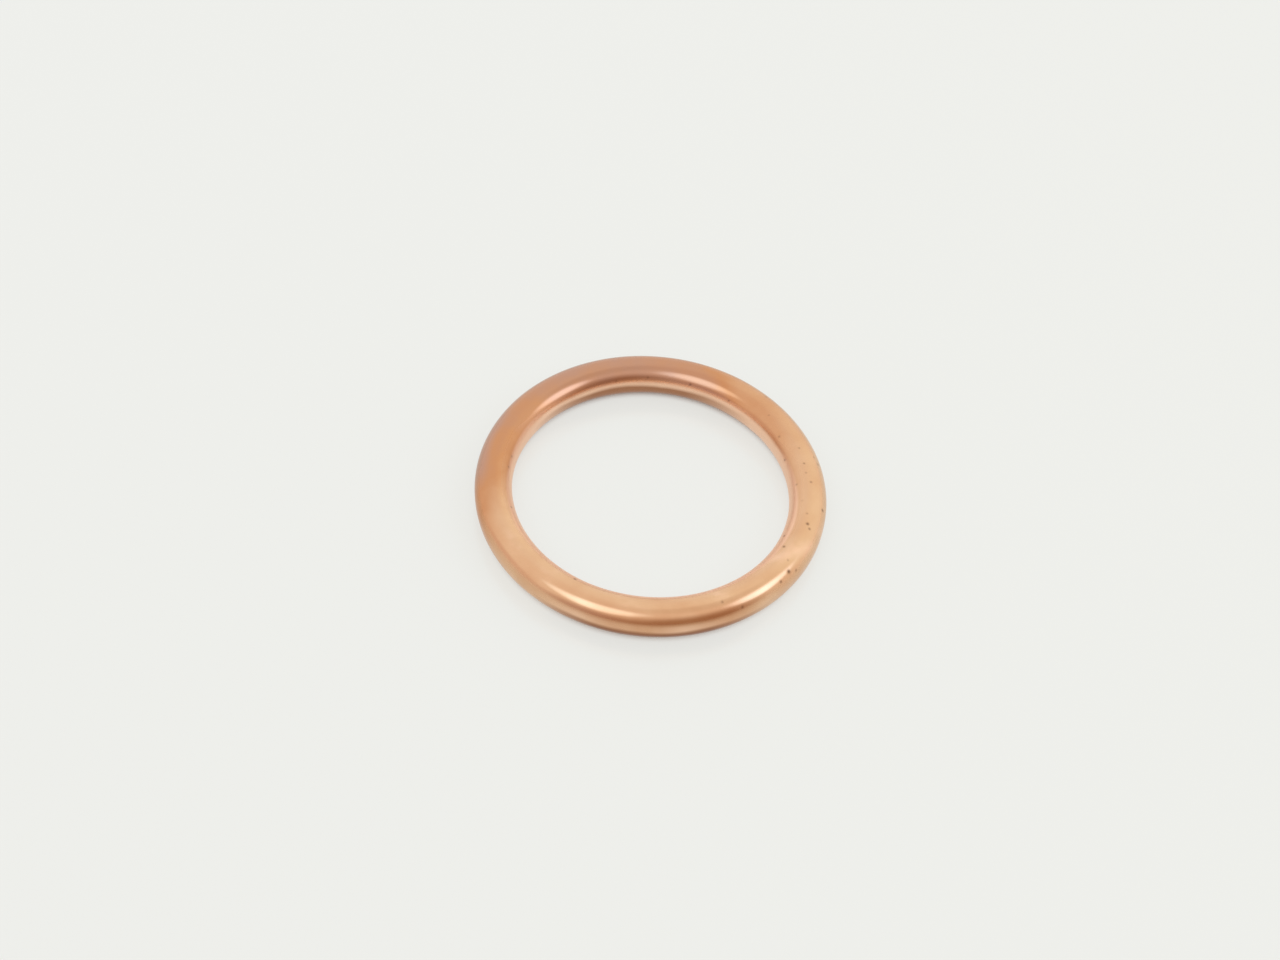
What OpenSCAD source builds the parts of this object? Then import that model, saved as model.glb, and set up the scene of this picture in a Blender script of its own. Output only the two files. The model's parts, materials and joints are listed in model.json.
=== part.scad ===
// Copper sealing washer for a bolt or drain plug.
// A solid ring with a flat land on each face. The edges at the rim and at the
// bore are rounded so full that only a low upright wall is left between them.
// The ring lies flat on z = 0 and its axis is Z. Sizes are in millimetres.

/* [Ring] */
// Diameter of the bore, just over the thread that passes through it
bore_d = 22.1; // [12:0.1:22.3]
// Diameter over the rim
outer_d = 28; // [27.8:0.1:40]
// Thickness from one flat face to the other
thickness = 3; // [2.85:0.05:5]

/* [Rounded edges] */
// Radius of the two edges at the rim
rim_edge_r = 1.4; // [0.4:0.05:1.45]
// Radius of the two edges at the bore
bore_edge_r = 1.4; // [0.3:0.05:1.45]

/* [Hidden] */
$fn = 160;
copper = "#D8A47C";
// The flat land runs between the rounded edges of the bore and of the rim
land_inner_r = bore_d / 2 + bore_edge_r;
land_outer_r = outer_d / 2 - rim_edge_r;
land_middle_r = (land_inner_r + land_outer_r) / 2;
half_land = (land_outer_r - land_inner_r) / 2;

// One side of the ring's section, from the middle of the land at x = 0
// out to an upright wall, with a rounded edge above and below the wall
module section_side(edge_r) {
    square([half_land, thickness]);
    translate([0, edge_r])
        square([half_land + edge_r, thickness - 2 * edge_r]);
    for (height = [edge_r, thickness - edge_r])
        translate([half_land, height])
            circle(edge_r);
}

// The whole section in its place beside the axis
module section() {
    translate([land_middle_r, 0]) {
        section_side(rim_edge_r);
        mirror([1, 0])
            section_side(bore_edge_r);
    }
}

// The ring is its section turned once round the axis
module washer() {
    color(copper)
        rotate_extrude()
            section();
}

washer();
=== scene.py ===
import json
import math

import bpy
import numpy as np
from mathutils import Matrix, Vector


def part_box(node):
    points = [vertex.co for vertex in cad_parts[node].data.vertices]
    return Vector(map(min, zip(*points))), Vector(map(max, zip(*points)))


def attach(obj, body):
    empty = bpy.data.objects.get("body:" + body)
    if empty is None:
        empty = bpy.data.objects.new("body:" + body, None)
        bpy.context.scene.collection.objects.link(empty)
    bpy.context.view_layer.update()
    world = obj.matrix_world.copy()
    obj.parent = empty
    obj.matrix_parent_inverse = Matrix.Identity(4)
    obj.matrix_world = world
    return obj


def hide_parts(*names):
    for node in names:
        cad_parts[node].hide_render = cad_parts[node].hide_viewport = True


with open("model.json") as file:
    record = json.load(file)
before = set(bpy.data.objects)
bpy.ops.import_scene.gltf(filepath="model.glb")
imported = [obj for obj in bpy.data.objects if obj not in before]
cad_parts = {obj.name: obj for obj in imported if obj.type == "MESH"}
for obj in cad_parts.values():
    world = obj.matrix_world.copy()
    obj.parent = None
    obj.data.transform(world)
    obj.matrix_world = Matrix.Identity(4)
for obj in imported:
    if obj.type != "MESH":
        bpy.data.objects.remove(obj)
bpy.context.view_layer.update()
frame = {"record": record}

# The washer
# One solid ring of soft copper, turned from thick tube and pressed between round-cornered dies.
# The dies leave a narrow flat land on each face and full round edges, and the surface is never
# quite even.

MM = 0.001

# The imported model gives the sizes. Its top face is measured at the middle of the flat land,
# which is what the bore's edge and the rim's edge leave between them.
mounts = {mount["name"]: mount for mount in frame["record"]["mounts"]}
low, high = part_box("washer")
thickness = high.z - low.z
rim_radius = (high.x - low.x) / 2
bore_radius = mounts["bore"]["dims"]["r_mm"] * MM
bore_wall_height = mounts["bore"]["dims"]["length_mm"] * MM
land_middle_radius = mounts["top_face"]["pos_m"][0]
bore_edge = (thickness - bore_wall_height) / 2
rim_edge = rim_radius + bore_radius + bore_edge - 2 * land_middle_radius

# Corners of the section in the order they are walked, from the foot of the rim up over the
# top and down the bore: which wall, which face, edge radius, points on the edge and on the
# straight stretch after it. The top, which shows, is finer than the underside.
corners = [
    ("rim", "bottom", rim_edge, 12, 2),
    ("rim", "top", rim_edge, 30, 3),
    ("bore", "top", bore_edge, 28, 2),
    ("bore", "bottom", bore_edge, 11, 2),
]
points_around = 1080


def pressed_section():
    """Points round the section and their outward normals, as rows of (radius, height).

    A corner with edge radius e about a centre c is c + e (cos a, sin a) while a turns by a
    quarter, with the normal (cos a, sin a). Evenly spaced points on a straight line then run
    to the start of the next corner and keep the last normal.
    """
    arcs = []
    for number, (wall, face, edge, on_edge, _) in enumerate(corners):
        centre_radius = rim_radius - edge if wall == "rim" else bore_radius + edge
        centre_height = edge if face == "bottom" else thickness - edge
        turn = math.radians(90) * (number - 1 + np.linspace(0, 1, on_edge))
        normal = np.stack([np.cos(turn), np.sin(turn)], axis=1)
        arcs.append((np.array([centre_radius, centre_height]) + edge * normal, normal))
    points = []
    normals = []
    for number, (arc, normal) in enumerate(arcs):
        after = arcs[(number + 1) % len(arcs)][0][0]
        on_line = corners[number][4]
        share = np.arange(1, on_line + 1)[:, None] / (on_line + 1)
        points += [arc, arc[-1] + share * (after - arc[-1])]
        normals += [normal, np.repeat(normal[-1:], on_line, axis=0)]
    return np.concatenate(points), np.concatenate(normals)


def ramp(value, begin, full):
    """0 to 1, in proportion, as the value goes from begin to full."""
    return np.clip((value - begin) / (full - begin), 0, 1)


section, section_normal = pressed_section()
section_radius, section_height = section.T
toward_rim, toward_top = section_normal.T
step = np.linalg.norm(np.roll(section, -1, axis=0) - section, axis=1)
bore_middle = np.argmin(np.hypot(section_radius - bore_radius, section_height - thickness / 2))
# Distance across the surface, from the middle of the bore wall up over the top to the rim
across = np.cumsum(step) - step
across = (across[bore_middle] - across) % step.sum()
angle = np.linspace(0, 2 * np.pi, points_around, endpoint=False)[:, None]
distance = across[None, :]

# Height that the dies and handling leave on the surface, along the normal: 5, 9 and 17 waves
# round the ring, of which the second lot is uneven and the third leans across the surface. It
# fades to nothing on the underside, where the ring lies flat.
wave_height = 0.003 * MM
wave_lean = 1.5 * MM
waves = (
    np.cos(5 * angle + 0.6)
    + 0.7 * np.cos(9 * angle + 2.1 + 0.8 * np.sin(3 * angle))
    + 0.5 * np.cos(17 * angle + 4.0 + distance / wave_lean)
)
upper = ramp(section_height, 0.125 * thickness, 0.625 * thickness)

# Pits and stains: degrees round from the right, millimetres across from the middle of the
# bore wall, radius in millimetres and darkness from 0 to 1. Most are on the right.
stains = [
    (49.5, 3.18, 0.09, 0.5),
    (42.0, 1.87, 0.07, 0.4),
    (31.5, 1.38, 0.09, 0.5),
    (22.5, 2.33, 0.08, 0.5),
    (21.0, 0.77, 0.10, 0.6),
    (18.0, 3.34, 0.08, 0.5),
    (15.3, 3.59, 0.10, 0.7),
    (15.0, 2.26, 0.09, 0.6),
    (10.5, 2.23, 0.08, 0.4),
    (6.0, 1.32, 0.08, 0.5),
    (6.0, 2.52, 0.09, 0.6),
    (-3.0, 1.81, 0.07, 0.3),
    (-4.5, 3.69, 0.12, 0.9),
    (-9.0, 2.39, 0.08, 0.4),
    (-13.5, 2.67, 0.12, 0.9),
    (-15.2, 2.95, 0.10, 0.7),
    (-21.0, 1.20, 0.09, 0.7),
    (-27.0, 1.85, 0.11, 0.8),
    (-31.5, 2.82, 0.08, 0.4),
    (-31.5, 3.89, 0.10, 0.6),
    (-34.3, 3.50, 0.16, 1.0),
    (-39.0, 3.69, 0.11, 0.8),
    (-55.5, 3.82, 0.10, 0.6),
    (-61.5, 2.91, 0.10, 0.5),
    (60.0, 0.85, 0.08, 0.6),
    (78.0, 0.92, 0.09, 0.7),
    (96.0, 1.00, 0.08, 0.5),
    (109.5, 0.83, 0.08, 0.4),
    (174.0, 1.06, 0.08, 0.6),
    (180.0, 1.16, 0.08, 0.6),
    (201.0, 1.27, 0.08, 0.6),
    (244.5, 1.65, 0.10, 0.8),
]
pit_depth = 0.008 * MM


def spots(marks):
    """How dark each point is: the sum over all marks of darkness times exp(-(d / r)^2).

    The distance d from a mark is measured on the surface, as the distance round at this
    point's own radius together with the distance across.
    """
    total = np.zeros((points_around, len(section)))
    for degrees, out, size, darkness in marks:
        turn = (angle - math.radians(degrees) + np.pi) % (2 * np.pi) - np.pi
        gap = np.hypot(turn * section_radius, distance - out * MM)
        total += darkness * np.exp(-((gap / (size * MM)) ** 2))
    return total


stain = np.clip(spots(stains), 0, 1)
height = wave_height * waves * upper - pit_depth * stain
radius = section_radius + toward_rim * height
# Nothing goes lower than the board that the ring lies on
surface = np.stack(
    [
        radius * np.cos(angle),
        radius * np.sin(angle),
        np.maximum(section_height + toward_top * height, 0),
    ],
    axis=2,
)


def by_turn(turn, knots):
    """Runs straight from knot to knot all round. A knot is degrees from the right, and a value."""
    degrees, values = zip(*knots)
    return np.interp(turn, degrees, values, period=360)


# Thickness of the oxide film, from 0 to 1: thickest on the far side, thin and patchy on the near
# side. It is shifted some degrees onward on the rim, and as far back on the bore.
film_knots = [
    (10, 0.18),
    (40, 0.4),
    (60, 0.48),
    (75, 0.82),
    (100, 0.95),
    (125, 0.97),
    (150, 0.8),
    (172, 0.68),
    (190, 0.62),
    (203, 0.25),
    (213, 0.12),
    (250, 0.21),
    (268, 0.17),
    (285, 0.32),
    (300, 0.13),
    (315, 0.27),
    (330, 0.08),
    (345, 0.24),
]
film_shift = 12
turned = np.degrees(angle)
on_bore = toward_rim < 0
film = by_turn(turned - film_shift * toward_rim, film_knots)

# The rim carries more of it below its shoulder, on the left and in patches on the near side
rim_film_knots = [
    (145, 0),
    (165, 0.35),
    (180, 0.3),
    (195, 0),
    (250, 0.08),
    (270, 0.3),
    (287, 0),
    (300, 0.25),
    (315, 0),
]
film = film + by_turn(turned, rim_film_knots) * ramp(toward_rim, 0.2, 0.6)

# How far it is rubbed off, from 0 to 1: off the bore's wall all round and off the bore's edge on
# the near side. The two patches on the steep flank of the rim on the near side are painted
# reflection: clean metal there brightens the flank where it mirrors the board. The bore's knots
# say how steep the surface is where the rubbing begins.
bore_rubbed_knots = [
    (10, 0.67),
    (30, 0.85),
    (100, 0.81),
    (130, 0.88),
    (155, 0.74),
    (180, 0.7),
    (215, 0.4),
    (345, 0.4),
]
rim_painted_reflection_knots = [(235, 0), (250, 0.5), (260, 0.2), (274, 0.1), (285, 0.6), (305, 0)]
rubbed_from = by_turn(turned, bore_rubbed_knots)
rubbed_and_painted_reflection = ramp(-toward_rim, rubbed_from, rubbed_from + 0.12)
# Painted reflection: the rim's two patches of clean metal on the near flank
rubbed_and_painted_reflection = rubbed_and_painted_reflection + by_turn(turned, rim_painted_reflection_knots) * ramp(toward_rim, 0.9, 0.96)

# Painted shade, from 0 to 1: a darker line along the lower half of the rim on the near side
# and of the bore on the far side, where it is fainter and rises at both ends, stands in for the
# shade under the ring that the metal mirrors there. Its upper limit is soft and wavers, and it
# fades out toward the foot.
rim_painted_shade_top = 1.45 * MM
bore_painted_shade_top = 1.55 * MM + 0.2 * MM * ramp(np.abs(np.cos(angle)), 0, 0.25)
painted_shade_softness = 0.35 * MM
painted_shade_top = np.where(on_bore, bore_painted_shade_top, rim_painted_shade_top)
painted_shade_top = painted_shade_top + 0.05 * MM * np.cos(7 * angle + 1) + 0.03 * MM * np.cos(16 * angle)
painted_shade_middle = np.radians(np.where(on_bore, 100, 275))
painted_shade_reach = np.cos(angle - painted_shade_middle)
foot_painted_shade = ramp(painted_shade_top - section_height, -painted_shade_softness / 2, painted_shade_softness / 2)
foot_painted_shade = foot_painted_shade * ramp(section_height, 0.1 * MM, 0.5 * MM)
foot_painted_shade = foot_painted_shade * np.where(on_bore, 0.87 * ramp(painted_shade_reach, 0.6, 0.94), ramp(painted_shade_reach, 0.75, 0.95))

# How dull the surface is, from 0 to 1: half dull on the steep flanks of the rim and the bore.
# Away from the far side the bore is wholly dull, and from its shoulder down.
bore_dull = np.where(on_bore, 1 - ramp(np.sin(angle), 0.3, 0.6), 0)
dull_from = 0.75 - 0.45 * bore_dull
dull = ramp(np.abs(toward_rim), dull_from, dull_from + 0.15) * (0.5 + 0.5 * bore_dull)


def closed_grid(name, grid):
    """A mesh of the grid's points, with quads that close round the ring and round its section.

    Point (i, j) of n by m has the number i m + j, and each quad takes it with the next point
    round, the next round and across, and the next across, counting on past the end to the start.
    """
    number = np.arange(grid.shape[0] * grid.shape[1]).reshape(grid.shape[:2])
    onward = np.roll(number, -1, axis=0)
    corner_numbers = [number, onward, np.roll(onward, -1, axis=1), np.roll(number, -1, axis=1)]
    quads = np.stack(corner_numbers, axis=2).reshape(-1, 4)
    mesh = bpy.data.meshes.new(name)
    mesh.from_pydata(grid.reshape(-1, 3).tolist(), [], quads.tolist())
    mesh.shade_smooth()
    return mesh


ring_mesh = closed_grid("copper_ring", surface)
# Layers kept on the mesh, among them painted shade along the lower half and painted reflection on
# the rim's flank
layers = {"film": film, "rubbed_and_painted_reflection": rubbed_and_painted_reflection, "foot_painted_shade": foot_painted_shade, "stain": stain, "dull": dull}
for name, amount in layers.items():
    layer = ring_mesh.attributes.new(name, "FLOAT", "POINT")
    layer.data.foreach_set("value", amount.reshape(-1).astype(np.float32))
ring = bpy.data.objects.new("copper_ring", ring_mesh)
bpy.context.scene.collection.objects.link(ring)


def linear(colour):
    """Linear red, green, blue and alpha of an sRGB hex colour."""
    parts = [int(colour[i:i + 2], 16) / 255 for i in (1, 3, 5)]
    return [p / 12.92 if p <= 0.04045 else ((p + 0.055) / 1.055) ** 2.4 for p in parts] + [1]


def add(tree, kind, inputs=None, **settings):
    """A new node with its settings. An input is a value, or another node's output to link."""
    node = tree.nodes.new(kind)
    for name, value in settings.items():
        setattr(node, name, value)
    for socket, value in (inputs or {}).items():
        if isinstance(value, bpy.types.NodeSocket):
            tree.links.new(value, node.inputs[socket])
        else:
            node.inputs[socket].default_value = value
    return node


# Where a Mix node takes its two colours and gives the result
MIX_FROM = 6
MIX_TO = 7
MIX_RESULT = 2

# Copper, turned, annealed soft and lightly tarnished. The metal shows only what it reflects,
# tinted pale, and the oxide film turns it orange and then brown as it thickens, with faint
# clouds. Where the film is rubbed off, the metal is clean and palest.
COPPER_CLEAN = "#F8CDAE"
COPPER = "#E5BA94"
COPPER_ORANGE = "#D0956A"
COPPER_BROWNED = "#C4967E"
# The next colour is painted shade for the lower half, standing in for the shade under the ring
# mirrored there
FOOT_PAINTED_SHADE = "#9A6340"
STAIN = "#6B4A34"
COPPER_FILM = 0.15
ORANGE_FILM = 0.66
CLOUD_SIZE = 2.5 * MM
CLOUD_LOW = 0.3
CLOUD_HIGH = 0.7
CLOUD_FILM = 0.08
SMOOTHEST = 0.12
ROUGHEST = 0.17
FLANK_DULLNESS = 0.26

copper = bpy.data.materials.new("soft_copper")
copper.use_nodes = True
tree = copper.node_tree
tree.nodes.clear()
place = add(tree, "ShaderNodeTexCoord").outputs["Object"]
film_layer = add(tree, "ShaderNodeAttribute", attribute_name="film")
cloud = add(
    tree,
    "ShaderNodeTexNoise",
    {"Vector": place, "Scale": 1 / CLOUD_SIZE, "Detail": 3, "Roughness": 0.55},
)
cloudiness = add(
    tree,
    "ShaderNodeMapRange",
    {
        "Value": cloud.outputs[0],
        "From Min": CLOUD_LOW,
        "From Max": CLOUD_HIGH,
        "To Min": -CLOUD_FILM,
        "To Max": CLOUD_FILM,
    },
)
clouded = add(
    tree, "ShaderNodeMath", {0: film_layer.outputs["Fac"], 1: cloudiness.outputs[0]}, operation="ADD"
)
film_colours = add(tree, "ShaderNodeValToRGB", {"Fac": clouded.outputs[0]})
film_colours.color_ramp.elements[0].color = linear(COPPER_CLEAN)
film_colours.color_ramp.elements[1].color = linear(COPPER_BROWNED)
film_colours.color_ramp.elements.new(COPPER_FILM).color = linear(COPPER)
film_colours.color_ramp.elements.new(ORANGE_FILM).color = linear(COPPER_ORANGE)
colour = film_colours.outputs[0]
# Mixed in on top: clean metal where rubbed, with painted reflection on the rim's flank; painted
# shade along the lower half; the stains
for name, shade in (("rubbed_and_painted_reflection", COPPER_CLEAN), ("foot_painted_shade", FOOT_PAINTED_SHADE), ("stain", STAIN)):
    amount = add(tree, "ShaderNodeAttribute", attribute_name=name).outputs["Fac"]
    mixing = {"Factor": amount, MIX_FROM: colour, MIX_TO: linear(shade)}
    colour = add(tree, "ShaderNodeMix", mixing, data_type="RGBA").outputs[MIX_RESULT]

# Turning leaves fine lines along the ring: noise that varies only with radius and height,
# broken up by the clouds. The lines are drawn coarser than real ones, so that they show.
LINE_WIDTH = 0.12 * MM
LINE_DEPTH = 0.02 * MM
LINE_STRENGTH = 0.12

flat_place = add(tree, "ShaderNodeVectorMath", {0: place, 1: (1, 1, 0)}, operation="MULTIPLY")
from_axis = add(tree, "ShaderNodeVectorMath", {0: flat_place.outputs[0]}, operation="LENGTH")
split = add(tree, "ShaderNodeSeparateXYZ", {0: place})
beside_axis = add(
    tree, "ShaderNodeCombineXYZ", {0: from_axis.outputs["Value"], 2: split.outputs[2]}
)
lines = add(
    tree,
    "ShaderNodeTexNoise",
    {"Vector": beside_axis.outputs[0], "Scale": 1 / LINE_WIDTH, "Detail": 2},
)
line_height = add(
    tree, "ShaderNodeMath", {0: lines.outputs[0], 1: cloud.outputs[0]}, operation="MULTIPLY"
)
relief = add(
    tree,
    "ShaderNodeBump",
    {"Height": line_height.outputs[0], "Strength": LINE_STRENGTH, "Distance": LINE_DEPTH},
)
polish = add(
    tree,
    "ShaderNodeMapRange",
    {
        "Value": cloud.outputs[0],
        "From Min": CLOUD_LOW,
        "From Max": CLOUD_HIGH,
        "To Min": SMOOTHEST,
        "To Max": ROUGHEST,
    },
)
dull_layer = add(tree, "ShaderNodeAttribute", attribute_name="dull")
dulled = add(
    tree,
    "ShaderNodeMath",
    {0: dull_layer.outputs["Fac"], 1: FLANK_DULLNESS, 2: polish.outputs[0]},
    operation="MULTIPLY_ADD",
)
shader = add(
    tree,
    "ShaderNodeBsdfPrincipled",
    {
        "Base Color": colour,
        "Metallic": 1.0,
        "Roughness": dulled.outputs[0],
        "Normal": relief.outputs[0],
    },
)
add(tree, "ShaderNodeOutputMaterial", {"Surface": shader.outputs[0]})
ring_mesh.materials.append(copper)

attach(ring, "root")
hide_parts("washer")

# The floor
# A large pale board under a thin clear coat, which the ring lies on. Its shadows are kept pale,
# as in the photograph: what the camera and the metal see of it is mostly its own plain colour,
# and the true shade is left only where the ring comes down to it.

FLOOR = "#EDEEEA"
PLAIN_SHARE = 0.8
CONTACT_SHARE = 0.1
# How far in under the ring's edges the plain share begins to fall, and where it is least
fall_begins = 0.1 * MM
fall_ends = 1.0 * MM
ring_middle_radius = (rim_radius + bore_radius) / 2
half_ring_width = (rim_radius - bore_radius) / 2

floor_width = 4.0
half = floor_width / 2
floor_corners = [(-half, -half, 0), (half, -half, 0), (half, half, 0), (-half, half, 0)]
floor_mesh = bpy.data.meshes.new("floor")
floor_mesh.from_pydata(floor_corners, [], [(0, 1, 2, 3)])
floor = bpy.data.objects.new("floor", floor_mesh)
bpy.context.scene.collection.objects.link(floor)
board = bpy.data.materials.new("smooth_board")
board.use_nodes = True
tree = board.node_tree
tree.nodes.clear()
ray = add(tree, "ShaderNodeLightPath")
mirrored = add(
    tree,
    "ShaderNodeMath",
    {0: ray.outputs["Is Glossy Ray"], 1: ray.outputs["Is Transmission Ray"]},
    operation="MAXIMUM",
)
seen = add(
    tree,
    "ShaderNodeMath",
    {0: ray.outputs["Is Camera Ray"], 1: mirrored.outputs[0]},
    operation="MAXIMUM",
)
place = add(tree, "ShaderNodeTexCoord").outputs["Object"]
from_axis = add(tree, "ShaderNodeVectorMath", {0: place}, operation="LENGTH")
off_middle = add(
    tree,
    "ShaderNodeMath",
    {0: from_axis.outputs["Value"], 1: ring_middle_radius},
    operation="SUBTRACT",
)
beside_middle = add(tree, "ShaderNodeMath", {0: off_middle.outputs[0]}, operation="ABSOLUTE")
plain = add(
    tree,
    "ShaderNodeMapRange",
    {
        "Value": beside_middle.outputs[0],
        "From Min": half_ring_width - fall_ends,
        "From Max": half_ring_width - fall_begins,
        "To Min": CONTACT_SHARE,
        "To Max": PLAIN_SHARE,
    },
    interpolation_type="SMOOTHSTEP",
)
share = add(tree, "ShaderNodeMath", {0: seen.outputs[0], 1: plain.outputs[0]}, operation="MULTIPLY")
mixing = {"Factor": share.outputs[0], MIX_FROM: linear(FLOOR), MIX_TO: linear("#000000")}
lit = add(tree, "ShaderNodeMix", mixing, data_type="RGBA")
surface_of_board = add(
    tree,
    "ShaderNodeBsdfPrincipled",
    {
        "Base Color": lit.outputs[MIX_RESULT],
        "Roughness": 1.0,
        "Specular IOR Level": 0.0,
        "Emission Color": linear(FLOOR),
        "Emission Strength": share.outputs[0],
        "Coat Weight": 1.0,
        "Coat Roughness": 0.2,
        "Coat IOR": 1.5,
    },
)
add(tree, "ShaderNodeOutputMaterial", {"Surface": surface_of_board.outputs[0]})
floor_mesh.materials.append(board)

# The light
# A pale room all round with two soft lamps overhead, one high on the left of the camera and one
# lower on the right. The dark of the camera's own side shows in the ring's near edges.

ROOM = "#FCF5EF"

# Each patch of the room: zenith, its angle from straight up, and azimuth, its turn from the
# far side toward the right; the angle from its middle at which it begins and the one within
# which it is full, all in degrees; its colour and its strength. The last two are the lamps.
patches = [
    (70.5, 341, 54, 16, "#FFFFFE", 1.0),
    (50, 52, 48, 10.5, "#FFFFF7", 1.05),
    (14.5, 80, 22.5, 3, "#F3ECE3", 1.0),
    (87, 258, 28, 9.5, "#EDDCD5", 1.0),
    (90, 206, 37, 4, "#CBB2AC", 1.0),
    (90.5, 152.5, 57.5, 8.5, "#B29177", 1.0),
    (51, 99, 21, 1, "#D8E8FF", 2.6),
    (35, 212, 24.5, 2, "#DDEFFF", 2.3),
]

world = bpy.data.worlds.new("pale_room")
world.use_nodes = True
bpy.context.scene.world = world
tree = world.node_tree
tree.nodes.clear()
toward = add(tree, "ShaderNodeTexCoord").outputs["Generated"]


def reach(zenith, azimuth, begin, full):
    """0 to 1 as a ray turns toward a patch: smooth between two angles from its middle."""
    up, turn = math.radians(zenith), math.radians(azimuth)
    middle = (math.sin(up) * math.sin(turn), math.sin(up) * math.cos(turn), math.cos(up))
    turned_to = add(tree, "ShaderNodeVectorMath", {0: toward, 1: middle}, operation="DOT_PRODUCT")
    graded = add(
        tree,
        "ShaderNodeMapRange",
        {
            "Value": turned_to.outputs["Value"],
            "From Min": math.cos(math.radians(begin)),
            "From Max": math.cos(math.radians(full)),
        },
        interpolation_type="SMOOTHSTEP",
    )
    return graded.outputs[0]


room = linear(ROOM)
for zenith, azimuth, begin, full, colour, strength in patches:
    glow = [strength * part for part in linear(colour)[:3]] + [1]
    mixing = {"Factor": reach(zenith, azimuth, begin, full), MIX_FROM: room, MIX_TO: glow}
    room = add(tree, "ShaderNodeMix", mixing, data_type="RGBA").outputs[MIX_RESULT]
back = add(tree, "ShaderNodeBackground", {"Color": room, "Strength": 1.0})
add(tree, "ShaderNodeOutputWorld", {"Surface": back.outputs[0]})

# The camera
# It looks down on the ring from the front, a little rolled, at the photograph's angle.

picture_width, picture_height = 1280, 960
focal_pixels = 2250
ring_centre_pixel = (649.7, 502.2)
camera_elevation = math.radians(49.87)
camera_roll = math.radians(5.99)
camera_distance = 180.13 * MM

ahead = Vector((0, math.cos(camera_elevation), -math.sin(camera_elevation)))
level = Vector((1, 0, 0))
steep = level.cross(ahead)
right = math.cos(camera_roll) * level + math.sin(camera_roll) * steep
upward = math.cos(camera_roll) * steep - math.sin(camera_roll) * level
sight = (
    (ring_centre_pixel[0] - picture_width / 2) * right
    - (ring_centre_pixel[1] - picture_height / 2) * upward
    + focal_pixels * ahead
)
camera_data = bpy.data.cameras.new("camera")
camera_data.sensor_width = 36
camera_data.lens = camera_data.sensor_width * focal_pixels / picture_width
camera_data.clip_start = 0.01
camera = bpy.data.objects.new("camera", camera_data)
axes = Matrix((right, upward, -ahead)).transposed().to_4x4()
camera.matrix_world = Matrix.Translation(-camera_distance * sight.normalized()) @ axes
bpy.context.scene.collection.objects.link(camera)
bpy.context.scene.camera = camera
bpy.context.scene.view_settings.view_transform = "Standard"
